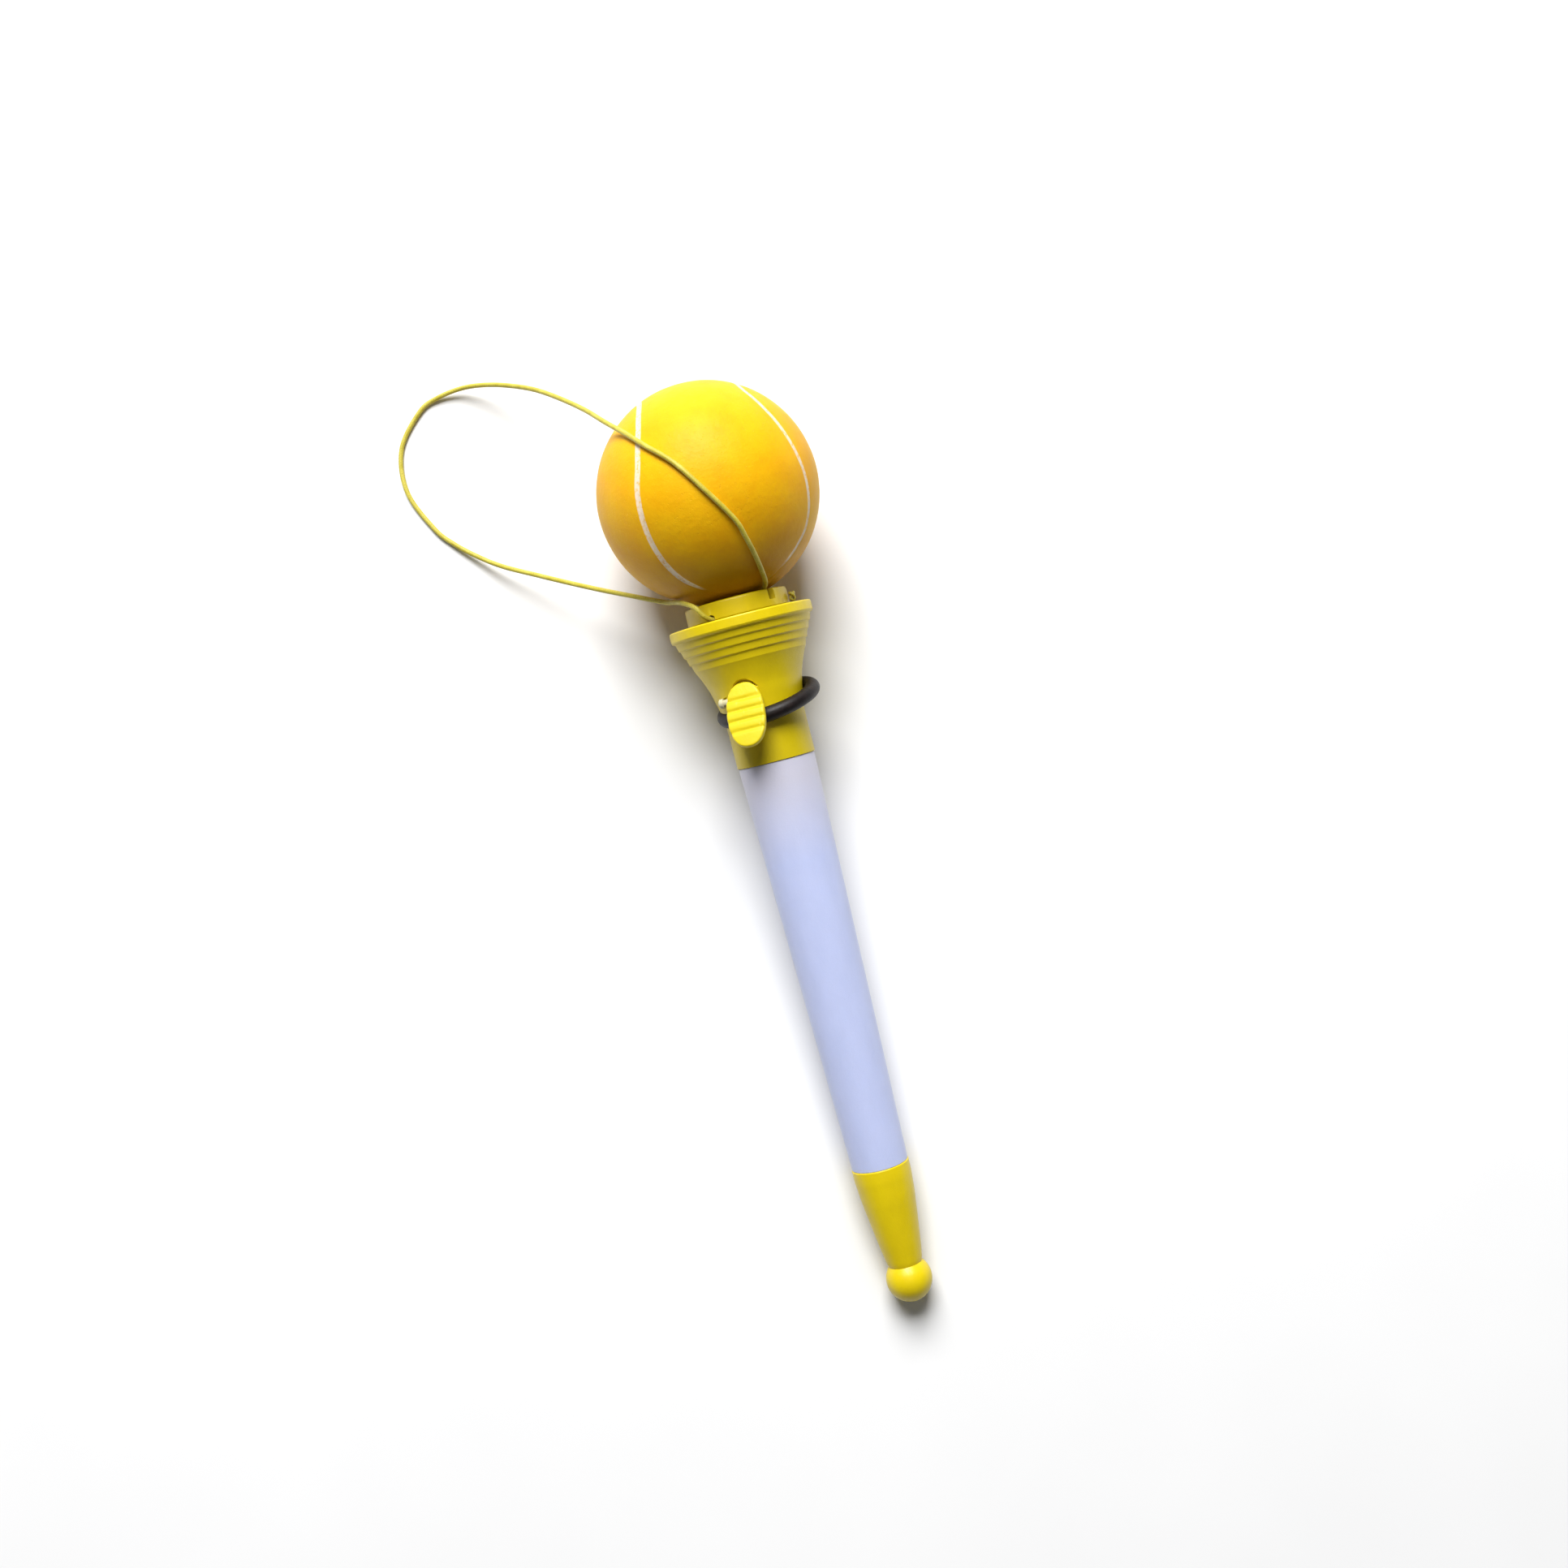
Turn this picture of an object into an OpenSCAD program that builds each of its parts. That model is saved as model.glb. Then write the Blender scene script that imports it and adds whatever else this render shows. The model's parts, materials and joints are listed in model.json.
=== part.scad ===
// Ball-launching pen: a ballpoint pen with a sprung plunger at its head that
// throws a tethered foam ball.  Lengths are in millimetres.
//
// Every rigid piece is drawn upright on the pen's own axis: Z is the distance
// from the tip of the cap, and -Y is the side that faces up when the pen lies.
// laid() then rests the pen on the ball and on the bulb of its cap, with the
// ball towards +Y and the surface it lies on at Z = 0.

/* [Ball] */
// Diameter of the foam ball
ball_d = 40; // [38:0.5:42]
// Distance of the ball's centre from the tip of the cap
ball_z = 151.6; // [151:0.1:153]

/* [Cap] */
// Diameter of the bulb on the end of the cap
bulb_d = 8.5; // [8:0.1:9]
// Diameter of the waist between the bulb and the cap
waist_d = 6.8; // [6:0.1:7.2]
// Diameter of the cap's mouth
cap_d = 10.68; // [10.5:0.02:11.2]
// Distance of the cap's mouth from its tip
cap_len = 26.2; // [25.5:0.1:26.5]

/* [Barrel] */
// Diameter of the barrel beside the cap
barrel_front_d = 10.4; // [10.2:0.1:10.6]
// Diameter of the barrel beside the launcher's sleeve
barrel_back_d = 14.06; // [13.9:0.02:14.4]
// Distance of the barrel's upper end from the tip of the cap
barrel_top = 102.4; // [102:0.1:102.6]

/* [Launcher] */
// Diameter of the plain sleeve above the barrel
sleeve_d = 14.4; // [14.2:0.1:14.6]
// Diameter of the cup's lip
lip_d = 26.2; // [26:0.1:28]
// Distance of the cup's rim from the tip of the cap
rim_z = 128.9; // [128.7:0.1:129]
// Height of the plain band under the rim
lip_h = 2; // [1:0.1:2.1]
// Wall of the cup at its lip
lip_wall = 1; // [0.8:0.05:1]

/* [Plunger] */
// Widest diameter of the collar under the ball
collar_d = 18.8; // [18:0.1:18.8]
// Distance of the collar's top from the tip of the cap
collar_top = 132.3; // [132.2:0.05:132.4]
// Travel of the plunger when it is cocked
plunger_travel = 4.5; // [4:0.1:4.5]
// Diameter of the stem
stem_d = 3.2; // [3:0.1:3.2]

/* [Trigger] */
// How far round to the left of the upper side the trigger stands, in degrees
trigger_turn = 17; // [10:1:25]
// Slope of the thumb pad to the pen's axis, in degrees
pad_slope = 21; // [18:1:24]
// Length of the thumb pad
pad_len = 11.9; // [11:0.1:12.2]
// Width of the thumb pad
pad_w = 7; // [6.5:0.1:7.4]

/* [Rubber ring] */
// Diameter of the ring's centre line
ring_d = 16.8; // [16.6:0.1:17]
// Thickness of the ring
ring_t = 2.8; // [2.6:0.1:2.9]

/* [Tether] */
// Diameter of the elastic cord
cord_d = 0.9; // [0.8:0.1:1]

/* [Hidden] */

$fn = 96;
eps = 0.01;
fit = 0.05;                       // radial clearance of every running fit

yellow = [0.91, 0.84, 0.05];
ball_yellow = [1, 0.8, 0.1];
barrel_white = [0.85, 0.86, 0.95];
rubber_black = [0.07, 0.06, 0.06];
steel = [0.75, 0.76, 0.78];
natural = [0.92, 0.92, 0.88];
brass = [0.8, 0.65, 0.3];
ink_blue = [0.08, 0.12, 0.5];

// How the pen lies: both the bulb and the ball touch the surface
bulb_z = bulb_d / 2 + 0.05;
tilt = asin((ball_d - bulb_d) / 2 / (ball_z - bulb_z));
lying_len = (ball_z - bulb_z) * cos(tilt) + (ball_d + bulb_d) / 2;
origin_y = -lying_len / 2 + bulb_d / 2 - bulb_z * cos(tilt);
origin_z = bulb_d / 2 - bulb_z * sin(tilt);

// Launcher body
spigot_d = 11.3;
spigot_len = 6;
spigot_z = barrel_top - spigot_len;
spigot_bore = 8.4;
body_bore = 10;                   // bore of the neck round the launch spring
neck_top = 116.4;
bush_z = 104.4;                   // ledge that the guide bush stands on
bush_h = 4;
sleeve_top = 109.2;
flare = [[7.35, 111.5], [7.6, 113], [8.05, 115], [8.45, 116.7], [8.95, 118.2], [9.6, 119.8]];
cup_floor = [[11, 125.2], [9.9, 122.6], [8.7, 120.4], [7.9, 118.8], [7.4, 117.6]];
ledge_count = 4;                  // fine ledges between the flare and the lip
ledge_z = 121.2;
ledge_h = (rim_z - lip_h - ledge_z) / ledge_count;
ledge_r = 10.3;
ledge_step = (lip_d / 2 - 0.3 - ledge_r) / ledge_count;
ledge_slope = 0.3;                // how much each ledge widens before its step

// Plunger
dish_gap = 0.3;                   // the ball rests this far from the dish
stem_r = stem_d / 2;
stem_top = 129.6;
clip_z = bush_z - 0.9;
clip_h = 0.8;
stem_bottom = clip_z - 0.9;
skirt_r = 6.4;
skirt_z = 122.6;
skirt_top = 126.9;
hook_z = 119.2;                   // underside of the trigger's hook
hook_h = 1.1;
hook_play = 0.3;                  // room beside the hook in the plunger's groove
catch_z = hook_z - hook_play + plunger_travel;
catch_h = hook_h + 0.8;
catch_r = 5.5;
pocket_r = 4;                     // pocket for the spring's upper end
pocket_top = 126.4;
plug_r = 1.5;
plug_drop = 0.9;                  // how far the plug stands out of the ball
plug_len = 11;
channel_turn = 43.6;              // way out of the dish for the cord, to the right
channel_z = 130.35;
channel_w = 1.5;
tie_hole_turn = -31.5;
tie_hole_z = 129.4;
tie_hole_d = cord_d + 0.6;
tie_hole_depth = 2.9;
knot_turn = 80;
knot_z = 130.2;
knot_r = 10.1;

// Launch spring
spring_turns = 8;
spring_wire = 0.7;
spring_r = 3.35;
spring_steps = 16;                // rings in each turn
spring_sides = 6;

// Trigger, in the plane of the pen's axis: [distance from the axis, height]
pivot = [7.2, 114.6];
pin_r = 0.6;
pin_right = 3.3;
pin_left = 4.6;
pin_head_r = 0.85;
pin_head_h = 1;
pad_mid = [11.3, 112];            // middle of the pad's face
pad_t = 1.4;
pad_grooves = 4;
pad_pitch = 1.94;
pad_end_r = 2.6;                  // round ends of the pad
latch_swing = 7;                  // how far the hook swings in to catch the plunger, in degrees
pad_play = 0.2;                   // room round the pad where it sinks into the flare
lever_w = 3;
window_w = 3.4;
window_z = [112.9, 116.8];
slot_top = 121.4;
slot_skin = 0.4;                  // wall left outside the slot for the arm

// Rubber ring: slung a little askew round the neck
ring_z = 112.8;
ring_shift = 1.2;
ring_pitch = 12.8;                // the upper side leans towards the cap
ring_roll = 6;                    // the right side leans towards the ball

// Refill and nose
nose_grip_r = 4.2;
nose_grip_z = 19.5;
nose_tip_r = 1.6;
nose_tip_z = 13;
nose_spigot_r = 3.7;
nose_spigot_top = 33;
refill_r = 1.5;
refill_bore_r = 1;
refill_z = 16.5;
refill_top = 94;
refill_slack = 0.05;
tip_point_z = 11.2;
writing_ball_r = 0.4;
stop_z = 92.3;
stop_r = 5;
stop_bore_z = 88;                 // the barrel's bore is plain above this

// Route of the tether where the pen lies, from the ball's plug to the collar
tether_route = [
    [1.1, 44.7, 18.9], [2.5, 44.5, 20.4], [3.9, 44.8, 21.9], [5.1, 45.5, 23.4],
    [5.9, 46.4, 26.1], [5.7, 48.0, 29.7], [5.2, 50.3, 33.2], [4.4, 53.0, 36.1],
    [3.3, 56.1, 38.1], [-0.4, 61.8, 40.2], [-4.3, 67.6, 40.0], [-8.4, 72.3, 37.4],
    [-11.3, 76.2, 33.5], [-14.4, 80.3, 28.8], [-17.6, 84.9, 23.0], [-21.7, 89.6, 17.4],
    [-26.0, 93.8, 12.2], [-30.5, 97.0, 7.8], [-35.4, 99.5, 4.2], [-40.3, 100.8, 1.8],
    [-45.4, 100.5, 0.7], [-49.4, 98.8, 0.5], [-54.5, 92.6, 0.5], [-55.4, 84.4, 0.5],
    [-52.1, 76.3, 0.5], [-49.1, 72.4, 0.7], [-45.0, 68.6, 1.5], [-40.8, 65.4, 2.9],
    [-35.0, 61.9, 5.2], [-29.2, 58.4, 8.0], [-23.5, 55.0, 11.3], [-17.8, 51.7, 15.1],
    [-12.3, 48.5, 19.0], [-10.3, 47.5, 21.8], [-8.9, 46.5, 24.6], [-7.2, 45.0, 26.5],
    [-6.2, 43.4, 26.5], [-5.2, 42.5, 25.9], [-4.4, 42.3, 25.0], [-3.8, 42.6, 23.8]];
tether_rings = 79;
tether_sides = 8;

// ---------------------------------------------------------------- helpers

// Lays a piece drawn upright on the pen's axis down on the surface
module laid() {
    translate([0, origin_y, origin_z]) rotate([tilt - 90, 0, 0]) children();
}

// Turns a piece drawn on the upper side (-Y) to the right by an angle
module facing(turn) {
    rotate([0, 0, turn]) children();
}

// Stands a flat outline of [distance from the axis, height] in the plane of
// the axis on the upper side, with a width across
module across(width) {
    rotate([90, 0, -90]) linear_extrude(width, center = true) children();
}

// A cylinder between two heights
module rod(r, low, high) {
    translate([0, 0, low]) cylinder(r = r, h = high - low);
}

// A cylinder across the trigger's side at the pivot, from one side to the other
module pivot_rod(r, right, left) {
    translate([right, -pivot[0], pivot[1]]) rotate([0, -90, 0]) cylinder(r = r, h = right + left);
}

function arc(middle, r, from, to, steps) =
    [for (i = [0:steps]) let (a = from + (to - from) * i / steps)
        [middle[0] + r * cos(a), middle[1] + r * sin(a)]];

function unit(v) = v / norm(v);

// Point of a smooth curve through a list, t counted in list places
function along(list, t) =
    let (n = len(list), i = min(floor(t), n - 2), f = t - i,
         a = list[max(i - 1, 0)], b = list[i], c = list[i + 1], d = list[min(i + 2, n - 1)])
    0.5 * (2 * b + (c - a) * f + (2 * a - 5 * b + 4 * c - d) * f * f
           + (3 * b - a - 3 * c + d) * f * f * f);

// A closed tube of round section along a list of points
module tube_along(path, r, sides, side_hint) {
    n = len(path);
    rings = [for (i = [0:n - 1])
        let (t = unit(path[min(i + 1, n - 1)] - path[max(i - 1, 0)]),
             p = unit(cross(t, side_hint)), q = cross(t, p))
        for (k = [0:sides - 1])
            path[i] + r * (cos(360 * k / sides) * p + sin(360 * k / sides) * q)];
    walls = [for (i = [0:n - 2]) for (k = [0:sides - 1])
        let (a = i * sides + k, b = i * sides + (k + 1) % sides)
        for (face = [[a, b, b + sides], [a, b + sides, a + sides]]) face];
    first = [for (k = [sides - 1:-1:0]) k];
    last = [for (k = [0:sides - 1]) (n - 1) * sides + k];
    polyhedron(rings, concat(walls, [first, last]), convexity = 10);
}

// The rubber ring's shape, also used to cut its groove
module askew_ring(r) {
    translate([ring_shift, 0, ring_z]) rotate([ring_pitch, -ring_roll, 0])
        rotate_extrude() translate([ring_d / 2, 0]) circle(r = r);
}

// ------------------------------------------------------------------- ball

module ball() {
    color(ball_yellow) laid() difference() {
        translate([0, 0, ball_z]) sphere(d = ball_d);
        rod(plug_r, ball_z - ball_d, ball_z - ball_d / 2 - plug_drop + plug_len);
    }
}

// Plug glued into the ball that holds the tether's end
module ball_plug() {
    bottom = ball_z - ball_d / 2 - plug_drop;
    color(natural) laid() rod(plug_r, bottom, bottom + plug_len);
}

// ----------------------------------------------------------------- tether

module tether() {
    span = len(tether_route) - 1;
    path = [for (i = [0:tether_rings - 1]) along(tether_route, span * i / (tether_rings - 1))];
    color(yellow) tube_along(path, cord_d / 2, tether_sides, [1, 0, -1]);
}

// Knot in the tether's end, beside the collar
module tether_knot() {
    lump_r = 0.72;
    color(yellow) laid() facing(knot_turn) translate([0, -knot_r, knot_z]) {
        sphere(r = lump_r);
        translate([0.35, 0.02, 0.45]) sphere(r = 0.55);
        translate([0.3, 0, 0.5]) rotate([0, 40, 0]) cylinder(d = 0.7, h = 1.6);
    }
}

// ---------------------------------------------------------------- plunger

module plunger_head() {
    collar_r = collar_d / 2;
    edge = 0.5;
    outline = concat(
        [[0, skirt_z], [skirt_r - 0.3, skirt_z], [skirt_r, skirt_z + 0.3], [skirt_r, skirt_top],
         [collar_r - 1.4, skirt_top], [collar_r, rim_z + 0.3], [collar_r - 0.06, rim_z + 0.9]],
        arc([collar_r - 0.6 - edge, collar_top - edge], edge, 5, 90, 5),
        [[0, collar_top]]);
    color(yellow) laid() difference() {
        rotate_extrude() polygon(outline);
        translate([0, 0, ball_z]) sphere(r = ball_d / 2 + dish_gap);
        rod(plug_r + 0.3, channel_z, collar_top);
        rod(stem_r, skirt_z - 1, stem_top);
        rod(pocket_r, skirt_z - 1, pocket_top);
        // Groove that the trigger's hook catches
        difference() {
            rod(skirt_r + 1, catch_z, catch_z + catch_h);
            rod(catch_r, catch_z - 1, catch_z + catch_h + 1);
        }
        // Way out of the dish for the cord that comes from the ball
        facing(channel_turn) translate([-channel_w / 2, -collar_d, channel_z])
            cube([channel_w, collar_d, collar_top]);
        // Hole that the other end of the cord is tied through
        facing(tie_hole_turn) translate([0, 0, tie_hole_z]) rotate([90, 0, 0])
            translate([0, 0, collar_d / 2 - tie_hole_depth])
                cylinder(d = tie_hole_d, h = collar_d);
    }
}

module plunger_stem() {
    color(natural) laid() difference() {
        rod(stem_r, stem_bottom, stem_top);
        difference() {
            rod(stem_r + 1, clip_z, clip_z + clip_h);
            rod(stem_r - 0.3, clip_z - 1, clip_z + clip_h + 1);
        }
    }
}

// Clip on the stem that stops the plunger from leaving the pen
module stem_clip() {
    mouth = 2;
    color(steel) laid() difference() {
        rod(3, clip_z, clip_z + clip_h);
        rod(stem_r - 0.3, clip_z - 1, clip_z + clip_h + 1);
        translate([-mouth / 2, 0, clip_z - 1]) cube([mouth, 4, clip_h + 2]);
    }
}

module launch_spring() {
    low = bush_z + bush_h + spring_wire / 2 + eps;
    high = pocket_top - spring_wire / 2 - eps;
    steps = spring_turns * spring_steps;
    path = [for (i = [0:steps]) let (a = 360 * i / spring_steps)
        [spring_r * cos(a), spring_r * sin(a), low + (high - low) * i / steps]];
    color(steel) laid() tube_along(path, spring_wire / 2, spring_sides, [0, 0, 1]);
}

// --------------------------------------------------------------- launcher

function body_outline() = concat(
    [[spigot_bore / 2, spigot_z], [spigot_d / 2, spigot_z], [spigot_d / 2, barrel_top],
     [sleeve_d / 2 - 0.15, barrel_top], [sleeve_d / 2, barrel_top + 0.15],
     [sleeve_d / 2, sleeve_top]],
    flare,
    [for (i = [0:ledge_count - 1]) for (edge = [0, 1])
        [ledge_r + i * ledge_step + edge * ledge_slope, ledge_z + (i + edge * 0.85) * ledge_h]],
    [[lip_d / 2 - 0.25, rim_z - lip_h], [lip_d / 2, rim_z - lip_h + 0.15],
     [lip_d / 2, rim_z - 0.3], [lip_d / 2 - 0.3, rim_z]]);

function body_hollow() = concat(
    [[lip_d / 2 - lip_wall, rim_z], [lip_d / 2 - lip_wall, rim_z - 1.3]],
    cup_floor,
    [[body_bore / 2, neck_top], [body_bore / 2, bush_z], [spigot_bore / 2, bush_z]]);

module launcher_body() {
    slot_reach = 22.2;                // the window and slot are cut this far from outside
    pin_seat = 3.9;                   // the pin's head sits against the wall here
    inside_skin = [for (p = body_outline()) if (p[1] > bush_z) [p[0] - slot_skin, p[1]]];
    color(yellow) laid() difference() {
        rotate_extrude() polygon(concat(body_outline(), body_hollow()));
        askew_ring(ring_t / 2 + fit);
        facing(-trigger_turn) {
            // Window for the lever, and a slot in the wall for its arm
            translate([-window_w / 2, -lip_d, window_z[0]])
                cube([window_w, slot_reach, window_z[1] - window_z[0]]);
            intersection() {
                translate([-window_w / 2, -lip_d, window_z[0]])
                    cube([window_w, slot_reach, slot_top - window_z[0]]);
                rotate_extrude() polygon(concat([[0, bush_z]], inside_skin, [[0, rim_z]]));
            }
            // Recess that the pad's upper end sinks into
            for (swing = [0, latch_swing]) swung(swing) pad_slab(pad_play);
            pivot_rod(pin_r, pin_right, pin_left);
            pivot_rod(pin_head_r + 0.1, -pin_seat, pin_left + 3);
        }
    }
}

// Bush that guides the stem and seats the spring
module guide_bush() {
    color(natural) laid() difference() {
        rod(body_bore / 2, bush_z, bush_z + bush_h);
        rod(stem_r + fit, bush_z - 1, bush_z + bush_h + 1);
    }
}

module rubber_ring() {
    color(rubber_black) laid() askew_ring(ring_t / 2);
}

module pivot_pin() {
    color(natural) laid() facing(-trigger_turn) {
        pivot_rod(pin_r, pin_right, pin_left);
        pivot_rod(pin_head_r, -pin_left, pin_left + pin_head_h);
    }
}

// Swings a piece of the trigger about its pivot, the hook inwards
module swung(turn) {
    translate([0, -pivot[0], pivot[1]]) rotate([-turn, 0, 0])
        translate([0, pivot[0], -pivot[1]]) children();
}

// Places what lies on the pad's face: across it on X and along it on Y
module on_pad() {
    translate([0, -pad_mid[0], pad_mid[1]]) rotate([90 - pad_slope, 0, 0]) children();
}

// The pad without its grooves, with some room added round and under it
module pad_slab(room) {
    on_pad() translate([0, 0, -pad_t - room]) linear_extrude(pad_t + 2 * room) hull()
        for (end = [-1, 1]) {
            translate([0, end * 0.8]) circle(d = pad_w + 2 * room);
            translate([0, end * (pad_len / 2 - pad_end_r)]) circle(r = pad_end_r + room);
        }
}

// Thumb pad on a lever, with the arm that hooks the plunger
module trigger() {
    boss_r = 1.5;
    groove_r = 1;
    groove_depth = 0.25;
    hook_r = 6.55;                    // the hook's tip, just clear of the plunger's skirt
    arm_r = [6.9, 7.65];
    lever = [[6.3, 113.6], [7.2, 113.1], [9.6, 113.3], [8.6, 116.1], [arm_r[1], 116.5],
             [arm_r[1], hook_z + hook_h], [hook_r + 0.2, hook_z + hook_h],
             [hook_r, hook_z + hook_h - 0.3], [hook_r, hook_z], [arm_r[0], hook_z],
             [arm_r[0], 116.4], [6.2, 115.6]];
    color(yellow) laid() facing(-trigger_turn) {
        difference() {
            union() {
                across(lever_w) polygon(lever);
                pivot_rod(boss_r, lever_w / 2, lever_w / 2);
            }
            pivot_rod(pin_r + fit, lever_w, lever_w);
        }
        // The pad: face outwards, its lower end standing clear of the sleeve
        difference() {
            pad_slab(0);
            on_pad() for (i = [0:pad_grooves - 1])
                translate([-pad_w, (i - (pad_grooves - 1) / 2) * pad_pitch,
                           groove_r - groove_depth])
                    rotate([0, 90, 0]) cylinder(r = groove_r, h = 2 * pad_w);
        }
    }
}

// ----------------------------------------------------------------- barrel

module barrel() {
    front_r = barrel_front_d / 2;
    back_r = barrel_back_d / 2;
    outline = [
        [nose_spigot_r, cap_len], [front_r, cap_len], [back_r, barrel_top],
        [spigot_d / 2, barrel_top], [spigot_d / 2, spigot_z], [stop_r, spigot_z],
        [stop_r, stop_bore_z], [nose_spigot_r + 0.4, nose_spigot_top + 0.4],
        [nose_spigot_r, nose_spigot_top]];
    color(barrel_white) laid() rotate_extrude() polygon(outline);
}

// Disc that closes the refill's chamber
module refill_stop() {
    color(natural) laid() difference() {
        rod(stop_r, stop_z, spigot_z);
        rod(refill_r, stop_z - 1, refill_top);
    }
}

module nose_cone() {
    outline = [
        [refill_r, refill_z - 0.9], [refill_r, nose_spigot_top],
        [nose_spigot_r, nose_spigot_top], [nose_spigot_r, cap_len],
        [nose_grip_r, cap_len], [nose_grip_r, nose_grip_z],
        [nose_tip_r, nose_tip_z], [1.2, nose_tip_z], [1.2, refill_z - 0.9]];
    color(yellow) laid() rotate_extrude() polygon(outline);
}

module refill_tube() {
    color(natural) laid() difference() {
        rod(refill_r - refill_slack, refill_z, refill_top);
        rod(refill_bore_r, refill_z - 1, refill_top + 1);
    }
}

module ink() {
    color(ink_blue) laid() rod(refill_bore_r - refill_slack, 19.6, 74);
}

// Slug of grease that follows the ink down the tube
module ink_follower() {
    color(natural) laid() rod(refill_bore_r - refill_slack, 74, 77);
}

module refill_tip() {
    outline = [[0, tip_point_z + 0.1], [0.36, tip_point_z], [0.42, tip_point_z],
               [1.15, nose_tip_z + 0.4], [1.15, refill_z - 0.9],
               [refill_r - refill_slack, refill_z - 0.9], [refill_r - refill_slack, refill_z],
               [refill_bore_r, refill_z], [refill_bore_r, 19.6], [0, 19.6]];
    color(brass) laid() difference() {
        rotate_extrude() polygon(outline);
        translate([0, 0, tip_point_z]) sphere(r = writing_ball_r - 0.05);
    }
}

module writing_ball() {
    color(steel) laid() translate([0, 0, tip_point_z]) sphere(r = writing_ball_r - 0.06);
}

// -------------------------------------------------------------------- cap

module cap() {
    bulb_r = bulb_d / 2;
    waist_r = waist_d / 2;
    mouth_r = cap_d / 2;
    waist_turn = acos((waist_r - 0.25) / bulb_r);
    outer = concat(
        arc([0, bulb_z], bulb_r, -90, waist_turn, 20),
        [[waist_r - 0.15, bulb_z + bulb_r * sin(waist_turn) + 0.35], [waist_r, 8.1],
         [3.87, 11.4], [4.27, 14.4], [4.65, 17.4], [5.02, 20.4], [mouth_r, cap_len - 0.4],
         [mouth_r, cap_len]]);
    inner = [[nose_grip_r + fit, cap_len], [nose_grip_r + fit, nose_grip_z - 0.3],
             [2.2, nose_tip_z - 1], [2.2, 9.6], [1.6, 9], [0, 9]];
    color(yellow) laid() rotate_extrude() polygon(concat(outer, inner));
}

// ------------------------------------------------------------------ pieces

ball();
ball_plug();
tether();
tether_knot();
plunger_head();
plunger_stem();
stem_clip();
launch_spring();
guide_bush();
launcher_body();
trigger();
pivot_pin();
rubber_ring();
barrel();
refill_stop();
nose_cone();
refill_tube();
ink();
ink_follower();
refill_tip();
writing_ball();
cap();
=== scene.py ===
"""The looks of the ball-launching pen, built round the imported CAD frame.

Rigid pieces are drawn upright in millimetres on the pen's own axis: Z is the distance from the
tip of the cap and -Y is the side that faces up when the pen lies. lay() then moves them to where
the frame says that the pen lies.
"""
import json
import math

import bmesh
import bpy
import numpy as np
from mathutils import Matrix, Vector
from mathutils.kdtree import KDTree
from mathutils.noise import noise


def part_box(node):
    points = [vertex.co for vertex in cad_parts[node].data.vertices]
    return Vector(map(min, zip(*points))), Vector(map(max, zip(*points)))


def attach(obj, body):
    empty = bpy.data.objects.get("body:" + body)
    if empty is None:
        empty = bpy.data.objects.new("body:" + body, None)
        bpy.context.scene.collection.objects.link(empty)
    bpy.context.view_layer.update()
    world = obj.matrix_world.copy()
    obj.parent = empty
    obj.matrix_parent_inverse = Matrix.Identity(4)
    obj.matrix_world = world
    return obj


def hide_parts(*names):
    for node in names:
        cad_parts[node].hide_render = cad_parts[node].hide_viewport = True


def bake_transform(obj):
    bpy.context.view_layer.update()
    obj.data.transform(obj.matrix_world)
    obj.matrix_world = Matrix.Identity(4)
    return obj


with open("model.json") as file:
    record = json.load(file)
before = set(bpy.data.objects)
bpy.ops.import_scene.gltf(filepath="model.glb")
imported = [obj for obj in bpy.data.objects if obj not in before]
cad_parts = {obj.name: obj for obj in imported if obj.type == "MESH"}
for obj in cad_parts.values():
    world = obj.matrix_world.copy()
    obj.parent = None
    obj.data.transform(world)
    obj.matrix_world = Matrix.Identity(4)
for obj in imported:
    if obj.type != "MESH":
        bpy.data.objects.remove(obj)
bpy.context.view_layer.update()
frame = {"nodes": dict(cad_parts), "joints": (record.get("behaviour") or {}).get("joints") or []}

MM = 0.001
SEGMENTS = 144

# Heights on the pen's axis and radii, in millimetres. Pairs are (distance from the axis, height)
BALL_Z = 151.6
BALL_R = 20.0
CAP_MOUTH = 26.2
NIPPLE_R = 3.7                        # the nose's spigot in the barrel
NIPPLE_TOP = 33.0
BARREL_TOP = 102.4
SPIGOT_Z = BARREL_TOP - 6
SPIGOT_R = 5.65
SLEEVE_TOP = 109.2
SLEEVE_R = 7.2
STEM_BORE_R = 4.2
SPRING_SEAT_Z = 104.4
SPRING_BORE_R = 5.0
LEDGE_Z = 121.2
LEDGE_R = 10.3
LEDGES = 4
LIP_Z = 126.9
LIP_R = 13.1
RIM_Z = 128.9
COLLAR_FOOT = 122.6
CATCH_Z = 123.4                       # the collar's groove for the hook
CATCH_H = 1.9
DISH_Z = 130.35                       # the lowest point of the collar's dished top
TRIGGER_TURN = -17.0                  # degrees round from the upper side
PIVOT = (7.2, 114.6)
PIN_END = 2.1
PAD_MID = (11.3, 112.0)
PAD_HALF = (3.5, 5.95)                # half the pad's width and length
PAD_SLOPE = 21.0
PAD_T = 1.4
PAD_RIM = 0.35
RING_Z = 112.8
RING_R = 8.4
RING_T = 1.4
REFILL_R = 1.45
REFILL_Z = 16.5
CORD_D = 0.9


# ---------------------------------------------------------------- the pen's frame

def joint(name):
    return next(j for j in frame["joints"] if j["name"] == name)


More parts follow.
